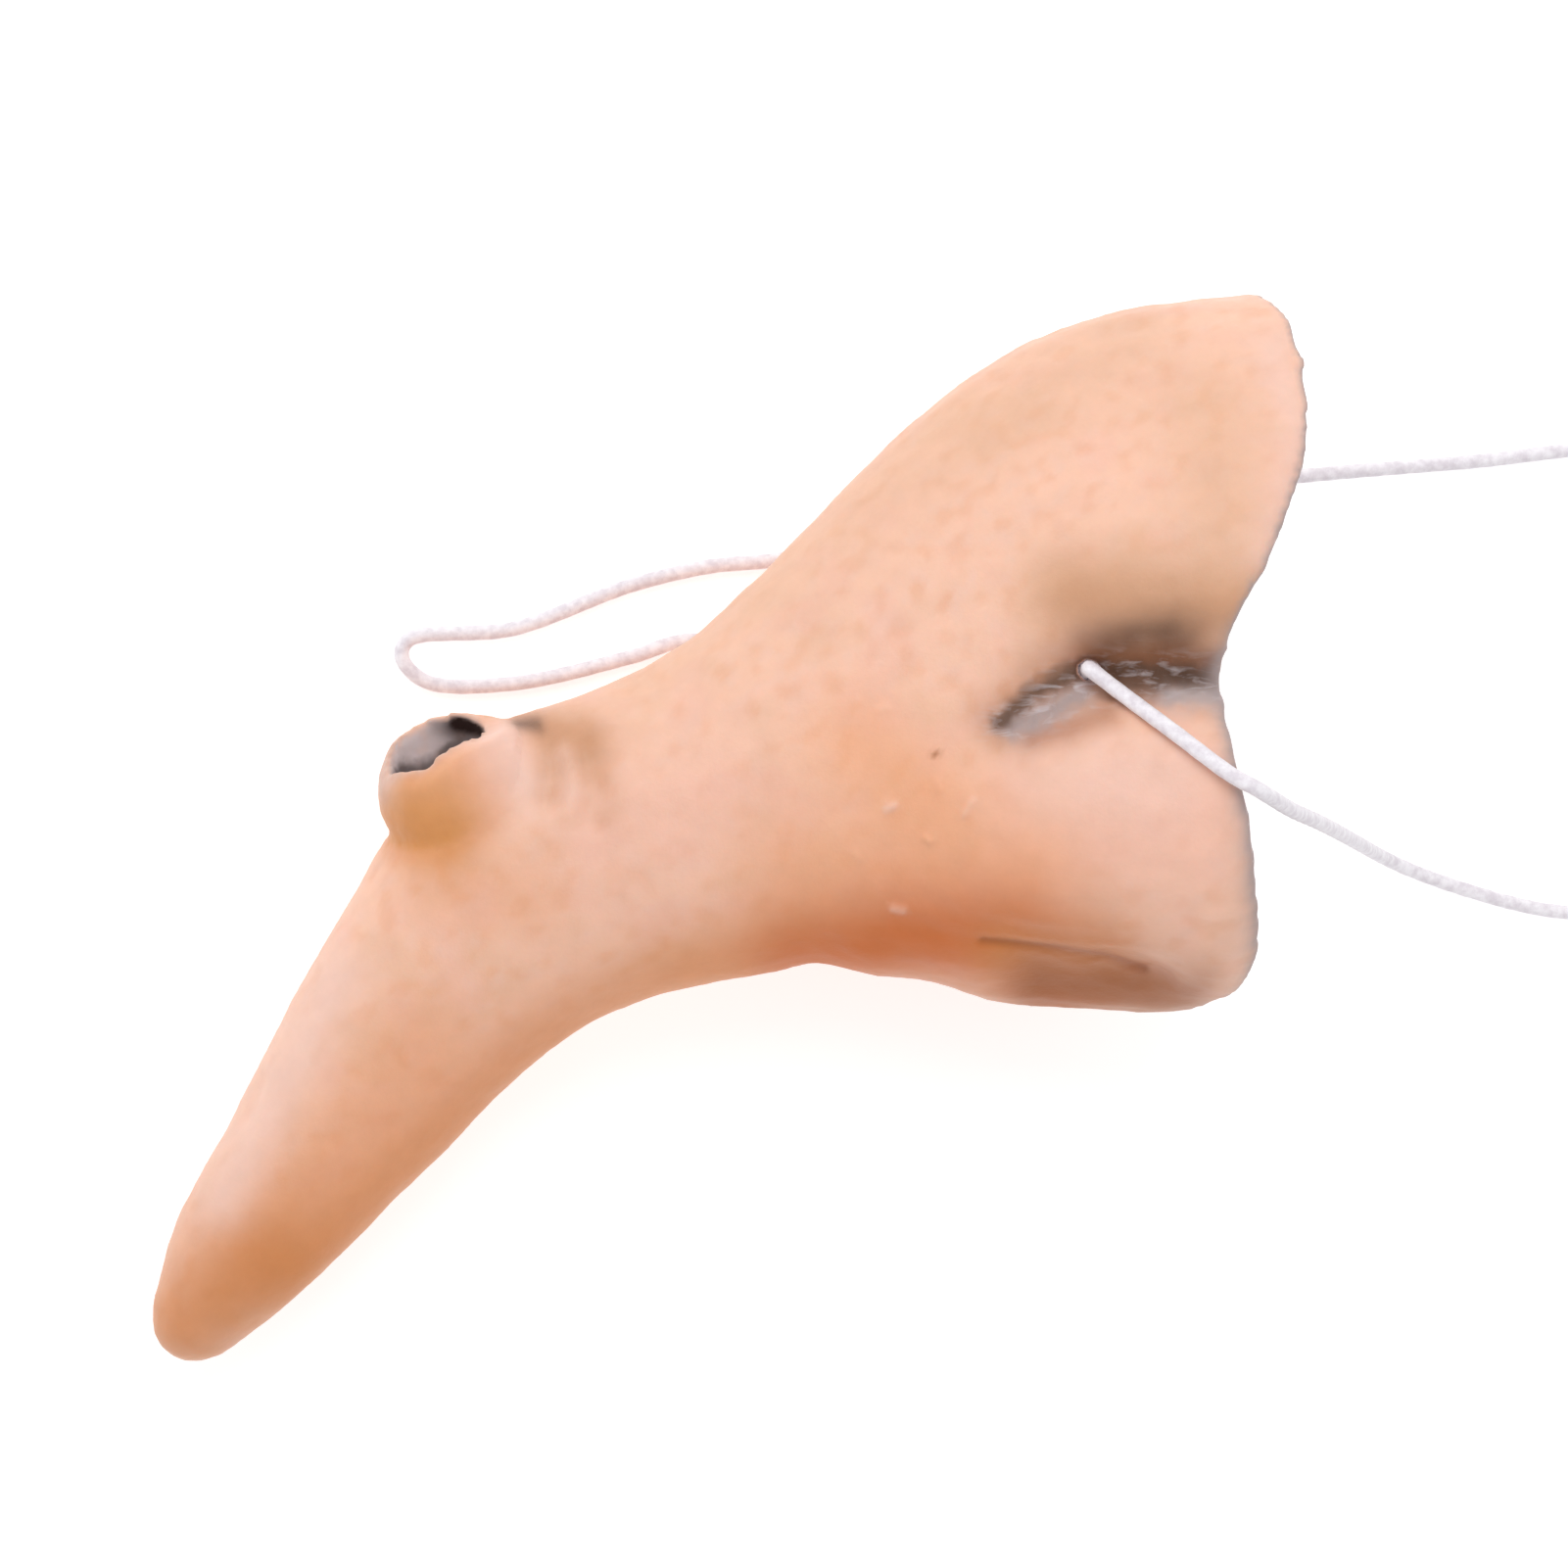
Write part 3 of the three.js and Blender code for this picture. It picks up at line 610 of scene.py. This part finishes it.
def makeSkin():
    mesh = fineMesh("nose_shell")
    points = smooth(mesh, ontoSolid("nose_shell", readPoints(mesh)), skin["smoothing"])
    writePoints(mesh, points)
    refine(mesh)
    points = smooth(mesh, readPoints(mesh), 2)
    writePoints(mesh, points)
    nose, noseNormal = toNose(points), normalsOf(mesh) @ axes.T
    place = whereOnNose(nose, noseNormal)
    atRim = ramp(rim["soft"] - place["rimAway"], 0, 1.2)[:, None]
    nose = toNose(smooth(mesh, points, rim["rounds"], atRim, 0))
    points = fromNose(trimOutline(shapeWart(nose, place)))
    writePoints(mesh, points)
    normal = normalsOf(mesh)
    outer = 1 - place["hollow"]
    lift = np.zeros(len(nose))
    for ripple in ripples:
        lift += ripple["height"] * noiseAt(nose, ripple["size"], ripple["seed"])
    for mark in marks:
        away = awayFrom(nose[:, :2], mark["path"])
        lift += mark["height"] * fall(away, mark["reach"]) * place["side"] * outer
    nearCrease = fall(place["crease"], 2.6) * outer * place["side"]
    stretched = nose * np.array([1, 0.35, 0.6])
    lift += skin["creaseWrinkle"] * noiseAt(stretched, 0.9, 4) * nearCrease
    lift += skin["lipWobble"] * noiseAt(nose, 1.5, 5) * place["lip"]
    lift = np.clip(lift, skin["deepest"], skin["highest"])
    points = points + normal * lift[:, None]
    points[:, 2] = np.maximum(points[:, 2], 0)
    writePoints(mesh, points)
    mesh.shade_smooth()
    piece = bpy.data.objects.new("latex_nose", mesh)
    bpy.context.collection.objects.link(piece)
    return piece, nose, place


latex, nosePoints, place = makeSkin()
print("latex skin made,", len(latex.data.polygons), "faces")


colours = {
    "peach": (0.945, 0.762, 0.668),
    "pink": (0.935, 0.735, 0.660),
    "palePink": (0.930, 0.775, 0.715),
    "tan": (0.870, 0.690, 0.570),
    "sand": (0.870, 0.580, 0.385),
    "apricot": (0.930, 0.670, 0.510),
    "orange": (0.815, 0.520, 0.300),
    "amber": (0.840, 0.565, 0.310),
    "umber": (0.780, 0.570, 0.430),
    "deepOrange": (0.800, 0.425, 0.190),
    "brown": (0.600, 0.330, 0.130),
    "shade": (0.350, 0.260, 0.210),
    "mauve": (0.840, 0.700, 0.640),
    "bareLatex": (0.800, 0.740, 0.735),
    "greyLatex": (0.660, 0.600, 0.595),
    # painted shade for the dark line in the nostril's fold
    "foldShade": (0.540, 0.270, 0.110),
    "dark": (0.130, 0.050, 0.030),
}

# Blotches all over: size across, seed, and the noise at which they begin.
blotches = [
    {"colour": "tan", "size": 7, "seed": 6, "begin": 0, "strength": 0.35},
    {"colour": "pink", "size": 5, "seed": 7, "begin": 0, "strength": 0.5},
    {"colour": "sand", "size": 2.1, "seed": 13, "begin": 0.05, "strength": 0.22},
    {"colour": "palePink", "size": 1.7, "seed": 14, "begin": 0.05, "strength": 0.3},
]

# Painted strips, alike on both cheeks: along a path seen from the side, fading at its reach. Most
# are the latex's airbrushed tones; painted shade and highlights are marked.
strips = [
    {"colour": "pink", "path": [(50, 19), (60, 22)], "reach": 7, "strength": 0.6},
    {"colour": "pink", "path": [(96, 18), (108, 20)], "reach": 7, "strength": 0.7},
    {"colour": "palePink", "path": [(94, 23), (106, 25)], "reach": 5, "strength": 0.6},
    {"colour": "apricot", "path": [(76, 28), (83, 22)], "reach": 6, "strength": 0.7},
    {"colour": "tan", "path": [(112, 62), (112, 46)], "reach": 6, "strength": 0.6},
    {"colour": "tan", "path": [(97, 44), (112, 42)], "reach": 5, "strength": 0.9},
    {"colour": "palePink", "path": [(119, 70), (121, 60), (117, 47)], "reach": 2.2,
     "strength": 0.7},
    {"colour": "tan", "path": [(52, 37), (78, 56), (104, 71)], "reach": 6, "strength": 0.5},
    # painted shade in the crevice between the wart and the bridge
    {"colour": "umber", "path": [(41, 29.8), (47, 28.8)], "reach": 3, "strength": 0.9},
    {"colour": "umber", "path": [(98, 43), (112, 42)], "reach": 4.2, "strength": 0.65},
    {"colour": "sand", "path": [(12, -24), (30, -3)], "reach": 6, "strength": 0.5},
    # darker, more orange along the lower edge: partly the latex's orange, partly painted shade
    {"colour": "sand", "path": [(17, -27), (30, -15.5), (44, -4), (58, 3), (71, 6)], "reach": 6,
     "strength": 0.95},
    {"colour": "sand", "path": [(32, 13.5), (41, 12)], "reach": 5, "strength": 0.35},
    # painted shade: darker orange at the tip's lower end
    {"colour": "orange", "path": [(4, -33), (13, -27)], "reach": 7, "strength": 0.8},
    # painted highlight along the tip's ridge
    {"colour": "palePink", "path": [(8.5, -19.5), (21, 4)], "reach": 3.2, "strength": 0.8},
    {"colour": "apricot", "path": [(70, 15), (92, 15)], "reach": 7, "strength": 0.7},
    # darker, more orange towards the underside and below the nostril's fold: partly the latex's
    # orange, partly painted shade
    {"colour": "deepOrange", "path": [(70, 5), (80, 8), (91, 8), (97, 4)], "reach": 6,
     "strength": 0.95},
    {"colour": "orange", "path": [(91, 7), (101, 6)], "reach": 3.5, "strength": 0.8},
    {"colour": "brown", "path": [(95, 3.5), (103.5, 3), (110, 2)], "reach": 4, "strength": 0.85},
    {"colour": "mauve", "path": [(114.5, 24), (116.5, 8)], "reach": 2.6, "strength": 0.45},
    # painted shade: a thin dark line in the nostril's fold
    {"colour": "foldShade", "path": nostrilLine, "reach": 0.4, "strength": 0.5},
    {"colour": "brown", "path": [(83.4, 27.2), (83.6, 27.1)], "reach": 0.38, "strength": 0.7},
    # painted highlights on the pimples
    {"colour": "palePink", "path": [(78.5, 21.6), (79.3, 21.9)], "reach": 0.45, "strength": 0.6},
    {"colour": "palePink", "path": [(79.3, 11.4), (80.3, 11.2)], "reach": 0.45, "strength": 0.4},
    {"colour": "palePink", "path": [(86.5, 21.0), (87.3, 22.4)], "reach": 0.4, "strength": 0.25},
]


# The base with a share of the colour laid over it.
def mix(base, colour, share):
    share = np.clip(share, 0, 1)[:, None]
    return base * (1 - share) + np.array(linear(colour))[None] * share


# Lays one strip's colour on the paint. more can push its edge about, and share thins it.
def addStrip(paint, nose, strip, more=0, share=1):
    away = awayFrom(nose[:, :2], strip["path"]) + more
    share = fall(away, strip["reach"]) * strip["strength"] * share
    return mix(paint, colours[strip["colour"]], share)


# Strips on and beside the wart: amber painted shade under the ball, and pale painted highlights on
# its shoulder and on the fold beside it. A pale one comes in where the skin rises out of the middle
# plane.
wartShade = {"colour": "amber", "path": [(30.5, 18.6), (33.0, 18.0)], "reach": 3.8, "strength": 0.6}
wartHighlights = [
    {"colour": "palePink", "path": [(38, 28), (40, 24.5)], "reach": 3, "strength": 0.95},
    {"colour": "palePink", "path": [(44.8, 27), (46, 23)], "reach": 1.3, "strength": 0.5},
]
# painted shade in the dents beside the wart
dentShade = [
    {"colour": "umber", "path": [(43, 29), (43.6, 24)], "reach": 2.2, "strength": 0.5},
    {"colour": "umber", "path": [(47.8, 26.5), (49.4, 21.5)], "reach": 2.2, "strength": 0.5},
]
# painted shade in the crevice behind the wart
behindWart = {"colour": "shade", "path": [(39.6, 30), (41.4, 30.4)], "reach": 1, "strength": 0.7}
# Painted shade in the crater: below its near lip, and in its corner.
craterShade = {
    "underLip": [(27.5, 25.4), (30.0, 25.6), (33.5, 28.6), (36.0, 30.8)],
    "corner": [(33.5, 30.6), (36.0, 30.4)],
}


# The wart is amber below, which is painted shade, with a painted shadow round its foot; mauve
# towards the tip; and pale on its shoulder, a painted highlight. Its crater is bare, with painted
# shade under its near lip and in its corner.
def paintWart(paint, nose, place):
    onBall = ramp(1.2 - place["wartAway"], 0, 1.2)
    heading = place["fromWart"]
    out = nose[:, 2]
    # painted shadow round the wart's foot
    paint = mix(paint, colours["sand"], fall(place["wartAway"] - 1.0, 1.6) * 0.5)
    # painted shade: darker amber on the ball's lower side and under it
    below = ramp(-heading[:, 1], -0.7, 0.5) * ramp(0.75 - heading[:, 0], 0, 0.7)
    paint = mix(paint, colours["amber"], onBall * below * 0.75)
    paint = addStrip(paint, nose, wartShade, share=ramp(out, 0, 4))
    towardsTip = ramp(-heading[:, 0], 0.4, 0.9) * ramp(heading[:, 1], -0.45, 0.15)
    paint = mix(paint, colours["mauve"], onBall * towardsTip * 0.9)
    # painted highlights on the wart's shoulder and on the fold beside it
    for strip in wartHighlights:
        paint = addStrip(paint, nose, strip, share=ramp(out, 2, 6))
    # painted shade in the dents, patchy
    patchy = 0.75 + 0.4 * noiseAt(nose, 2.2, 11)
    for strip in dentShade:
        paint = addStrip(paint, nose, strip, share=patchy)
    # painted shade behind the wart
    paint = addStrip(paint, nose, behindWart, share=ramp(out, 0, 3))
    crater = place["crater"]
    lip = fall(place["aside"] - wart["bowl"], 0.7)
    lip = lip * ramp(place["height"], wart["lip"] - 0.9, wart["lip"] - 0.2)
    paint = mix(paint, colours["mauve"], lip * 0.8)
    paint = mix(paint, colours["bareLatex"], crater)
    paint = mix(paint, colours["mauve"], crater * ramp(noiseAt(nose, 1.4, 12), 0, 0.4) * 0.35)
    # painted shade in the crater: under the near lip and in its corner
    underLip = 1.5 - awayFrom(nose[:, :2], craterShade["underLip"]) + 0.5 * noiseAt(nose, 0.8, 9)
    corner = fall(awayFrom(nose[:, :2], craterShade["corner"]), 2.4)
    dark = np.maximum(0.8 * ramp(underLip, 0, 1.4), 1.2 * corner)
    return mix(paint, colours["dark"], crater * dark)


# Strips at the crease, laid on in this order: painted shade, with the crease's dark airbrush, and
# grey bare latex. wobble makes an edge uneven, smoke makes one patchy.
creaseStrips = [
    # painted shade over the crease's upper wall
    {"colour": "shade", "path": [(100.5, 37.6), (107.5, 38.9)], "reach": 3.1, "strength": 0.8,
     "smoke": 0.25},
    # painted shade over the ledge above the fold
    {"colour": "shade", "path": [(99.5, 36.9), (111.5, 36.7)], "reach": 1.2, "strength": 0.65},
    # painted shade round the fold and under it
    {"colour": "brown", "path": foldLine, "reach": 3.0, "strength": 0.5},
    {"colour": "brown", "path": [(93.3, 28.9), (97, 29.9), (100.7, 31.2)], "reach": 1.6,
     "strength": 0.55},
    {"colour": "greyLatex", "path": [(91.5, 29.9), (94.4, 31.2), (98.1, 33.4)], "reach": 1.6,
     "strength": 0.9, "wobble": 0.5},
    {"colour": "bareLatex", "path": [(107, 33.3), (112.5, 33.4)], "reach": 1.5, "strength": 0.95,
     "wobble": 0.5},
    # painted shade right of the elastic's hole, under the elastic
    {"colour": "shade", "path": [(101.8, 34.3), (105.3, 34), (107.5, 34.9), (111.5, 34.7)],
     "reach": 1.5, "strength": 0.8, "wobble": 0.4},
]
stringsPath = [(90.9, 30.1), (96, 33.3), (102.5, 35.0), (111.8, 34.6)]


# The crease at the elastic's hole: painted shade over it, a dark fold of painted shade, and grey
# bare latex under that.
def paintCrease(paint, nose, place):
    side = place["side"] * (1 - place["hollow"])
    wobble = noiseAt(nose, 1.2, 8)
    smoke = noiseAt(nose, 2.5, 10)
    for strip in creaseStrips:
        share = side * (1 + strip.get("smoke", 0) * smoke)
        paint = addStrip(paint, nose, strip, strip.get("wobble", 0) * wobble, share)
    # painted shade along the fold itself
    fold = 1.8 - awayFrom(nose[:, :2], foldLine) + 0.5 * wobble
    return mix(paint, colours["shade"], ramp(fold, 0, 1.7) * side * 0.85)


# Where pale strings of latex show in the crease, from 0 to 1.
def stringsInCrease(nose, place):
    away = awayFrom(nose[:, :2], stringsPath)
    return fall(away, 2.3) * place["side"] * (1 - place["hollow"])


def paintSkin(piece, nose, place):
    side = place["side"]
    outer = 1 - place["hollow"]
    paint = np.tile(np.array(linear(colours["peach"])), (len(nose), 1))
    for blotch in blotches:
        share = ramp(noiseAt(nose, blotch["size"], blotch["seed"]), blotch["begin"], 0.5)
        paint = mix(paint, colours[blotch["colour"]], share * blotch["strength"])
    for strip in strips:
        paint = addStrip(paint, nose, strip)
    paint = paintWart(paint, nose, place)
    paint = paintCrease(paint, nose, place)
    # grey along the rim's cut edge, broader on the lower lobe: bare latex, partly painted shade
    edge = fall(place["rimAway"], 1.5) * outer * ramp(44 - nose[:, 1], 0, 8)
    edge = np.maximum(edge, fall(place["rimAway"], 0.7) * outer)
    paint = mix(paint, colours["greyLatex"], edge * 0.9)
    paint = mix(paint, colours["bareLatex"], place["hollow"])
    layer = piece.data.color_attributes.new("paint", "FLOAT_COLOR", "POINT")
    layer.data.foreach_set("color", np.column_stack([paint, np.ones(len(nose))]).ravel())
    bare = piece.data.attributes.new("bare", "FLOAT", "POINT")
    inCrease = fall(place["crease"], 2) * side
    bareShare = np.maximum.reduce([place["hollow"], place["crater"], inCrease, edge])
    bare.data.foreach_set("value", bareShare)
    strings = piece.data.attributes.new("strings", "FLOAT", "POINT")
    strings.data.foreach_set("value", stringsInCrease(nose, place))


paintSkin(latex, nosePoints, place)
print("latex painted")


def newMaterial(name):
    material = bpy.data.materials.new(name)
    material.use_nodes = True
    return material, material.node_tree.nodes["Principled BSDF"]


# A noise texture that stays with the piece.
def noiseNode(nodes, links, scale, detail):
    spot = nodes.get("spot") or nodes.new("ShaderNodeTexCoord")
    spot.name = "spot"
    texture = nodes.new("ShaderNodeTexNoise")
    texture.inputs["Scale"].default_value = scale
    texture.inputs["Detail"].default_value = detail
    texture.inputs["Roughness"].default_value = 0.6
    links.new(spot.outputs["Object"], texture.inputs["Vector"])
    return texture


latexLook = {
    "roughness": 0.44,
    "bareRoughness": 0.68,
    "shine": 0.22,
    "mottle": (0.97, 1.02),  # how far its colour varies in small spots
    "softness": 0.15,  # light that goes in and comes out beside
    "softDepth": 0.0015,
    "pores": 0.35,
    "poreDepth": 0.00012,
    "strings": (0.82, 0.785, 0.80),
    "stringStrength": 0.8,
    "stringTurn": -24,  # along the crease
}


# How much pale strings of latex show over the crease's paint. They are drawn out along the crease.
def stringShare(nodes, links):
    spot = nodes.new("ShaderNodeTexCoord")
    stretch = nodes.new("ShaderNodeMapping")
    stretch.inputs["Rotation"].default_value = (0, 0, math.radians(latexLook["stringTurn"]))
    stretch.inputs["Scale"].default_value = (260, 1100, 500)
    links.new(spot.outputs["Object"], stretch.inputs["Vector"])
    texture = nodes.new("ShaderNodeTexNoise")
    texture.inputs["Scale"].default_value = 1
    texture.inputs["Detail"].default_value = 4
    texture.inputs["Roughness"].default_value = 0.55
    texture.inputs["Distortion"].default_value = 0.7
    links.new(stretch.outputs["Vector"], texture.inputs["Vector"])
    thin = nodes.new("ShaderNodeMapRange")
    thin.inputs["From Min"].default_value = 0.5
    thin.inputs["From Max"].default_value = 0.78
    thin.inputs["To Max"].default_value = latexLook["stringStrength"]
    links.new(texture.outputs["Fac"], thin.inputs["Value"])
    where = nodes.new("ShaderNodeAttribute")
    where.attribute_name = "strings"
    share = nodes.new("ShaderNodeMath")
    share.operation = "MULTIPLY"
    links.new(thin.outputs["Result"], share.inputs[0])
    links.new(where.outputs["Fac"], share.inputs[1])
    return share.outputs["Value"]


def latexMaterial():
    material, shader = newMaterial("painted_latex")
    nodes, links = material.node_tree.nodes, material.node_tree.links
    paint = nodes.new("ShaderNodeVertexColor")
    paint.layer_name = "paint"
    bare = nodes.new("ShaderNodeAttribute")
    bare.attribute_name = "bare"
    fine = noiseNode(nodes, links, 420, 4)
    mottle = nodes.new("ShaderNodeMapRange")
    mottle.inputs["From Min"].default_value = 0.3
    mottle.inputs["From Max"].default_value = 0.7
    mottle.inputs["To Min"].default_value = latexLook["mottle"][0]
    mottle.inputs["To Max"].default_value = latexLook["mottle"][1]
    links.new(fine.outputs["Fac"], mottle.inputs["Value"])
    # A colour mix takes its colours at 6 and 7 and gives theirs at 2.
    tint = nodes.new("ShaderNodeMix")
    tint.data_type = "RGBA"
    tint.blend_type = "MULTIPLY"
    tint.inputs[0].default_value = 1
    links.new(paint.outputs["Color"], tint.inputs[6])
    links.new(mottle.outputs["Result"], tint.inputs[7])
    strings = nodes.new("ShaderNodeMix")
    strings.data_type = "RGBA"
    strings.inputs[7].default_value = (*linear(latexLook["strings"]), 1)
    links.new(stringShare(nodes, links), strings.inputs[0])
    links.new(tint.outputs[2], strings.inputs[6])
    links.new(strings.outputs[2], shader.inputs["Base Color"])
    rough = nodes.new("ShaderNodeMapRange")
    rough.inputs["To Min"].default_value = latexLook["roughness"]
    rough.inputs["To Max"].default_value = latexLook["bareRoughness"]
    links.new(bare.outputs["Fac"], rough.inputs["Value"])
    links.new(rough.outputs["Result"], shader.inputs["Roughness"])
    shader.inputs["Subsurface Weight"].default_value = latexLook["softness"]
    shader.inputs["Subsurface Radius"].default_value = (1.0, 0.45, 0.25)
    shader.inputs["Subsurface Scale"].default_value = latexLook["softDepth"]
    shader.inputs["Specular IOR Level"].default_value = latexLook["shine"]
    pores = noiseNode(nodes, links, 1500, 3)
    bump = nodes.new("ShaderNodeBump")
    bump.inputs["Strength"].default_value = latexLook["pores"]
    bump.inputs["Distance"].default_value = latexLook["poreDepth"]
    links.new(pores.outputs["Fac"], bump.inputs["Height"])
    links.new(bump.outputs["Normal"], shader.inputs["Normal"])
    return material


elasticLook = {
    "low": (0.89, 0.86, 0.89),
    "high": (0.98, 0.965, 0.985),
    "roughness": 0.8,
    "sheen": 0.3,
    "fuzz": 0.5,
    "fuzzDepth": 0.0001,
}


def elasticMaterial():
    material, shader = newMaterial("white_elastic")
    nodes, links = material.node_tree.nodes, material.node_tree.links
    soft = noiseNode(nodes, links, 900, 4)
    colour = nodes.new("ShaderNodeValToRGB")
    colour.color_ramp.elements[0].position = 0.35
    colour.color_ramp.elements[0].color = (*linear(elasticLook["low"]), 1)
    colour.color_ramp.elements[1].position = 0.65
    colour.color_ramp.elements[1].color = (*linear(elasticLook["high"]), 1)
    links.new(soft.outputs["Fac"], colour.inputs["Fac"])
    links.new(colour.outputs["Color"], shader.inputs["Base Color"])
    shader.inputs["Roughness"].default_value = elasticLook["roughness"]
    shader.inputs["Sheen Weight"].default_value = elasticLook["sheen"]
    bump = nodes.new("ShaderNodeBump")
    bump.inputs["Strength"].default_value = elasticLook["fuzz"]
    bump.inputs["Distance"].default_value = elasticLook["fuzzDepth"]
    links.new(soft.outputs["Fac"], bump.inputs["Height"])
    links.new(bump.outputs["Normal"], shader.inputs["Normal"])
    return material


latex.data.materials.clear()
latex.data.materials.append(latexMaterial())
whiteElastic = elasticMaterial()
for piece in (cord, leftKnot, rightKnot):
    piece.data.materials.append(whiteElastic)
print("materials made")


# What stands for what in the CAD part.
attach(latex, "root")
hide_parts("nose_shell")
for piece, node in ((cord, "elastic_cord"), (leftKnot, "left_knot"), (rightKnot, "right_knot")):
    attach(piece, "root")
    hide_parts(node)


studio = {
    "floor": 0.72,
    "glow": 0.55,  # lifts the floor to white
    "sky": 0.62,
    "aim": (0, 0, 0.02),
}

lights = [
    {"name": "key", "spot": (-0.25, 0.75, 0.9), "size": 0.9, "power": 6.2},
    {"name": "fill", "spot": (0.4, -0.6, 0.9), "size": 1.2, "power": 1.6},
]


def addFloor():
    mesh = bpy.data.meshes.new("floor")
    mesh.from_pydata([(-3, -3, 0), (3, -3, 0), (3, 3, 0), (-3, 3, 0)], [], [(0, 1, 2, 3)])
    floor = bpy.data.objects.new("floor", mesh)
    bpy.context.collection.objects.link(floor)
    material, shader = newMaterial("pale_floor")
    shader.inputs["Base Color"].default_value = (studio["floor"],) * 3 + (1,)
    shader.inputs["Roughness"].default_value = 0.9
    shader.inputs["Specular IOR Level"].default_value = 0
    shader.inputs["Emission Color"].default_value = (1, 1, 1, 1)
    shader.inputs["Emission Strength"].default_value = studio["glow"]
    mesh.materials.append(material)
    floor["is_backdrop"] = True


def addLight(light):
    data = bpy.data.lights.new(light["name"], "AREA")
    data.shape = "DISK"
    data.size = light["size"]
    data.energy = light["power"]
    lamp = bpy.data.objects.new(light["name"], data)
    bpy.context.collection.objects.link(lamp)
    lamp.location = light["spot"]
    heading = Vector(studio["aim"]) - Vector(light["spot"])
    lamp.rotation_euler = heading.to_track_quat("-Z", "Y").to_euler()


def addSky():
    world = bpy.data.worlds.new("sky")
    world.use_nodes = True
    background = world.node_tree.nodes["Background"]
    background.inputs["Color"].default_value = (1, 1, 1, 1)
    background.inputs["Strength"].default_value = studio["sky"]
    bpy.context.scene.world = world


addFloor()
for light in lights:
    addLight(light)
addSky()
bpy.context.scene.view_settings.view_transform = "Standard"
print("floor and light set")

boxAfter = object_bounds()
plain = {
    "cad": [[float(x) for x in corner] for corner in boxBefore],
    "visual": [[float(x) for x in corner] for corner in boxAfter],
}
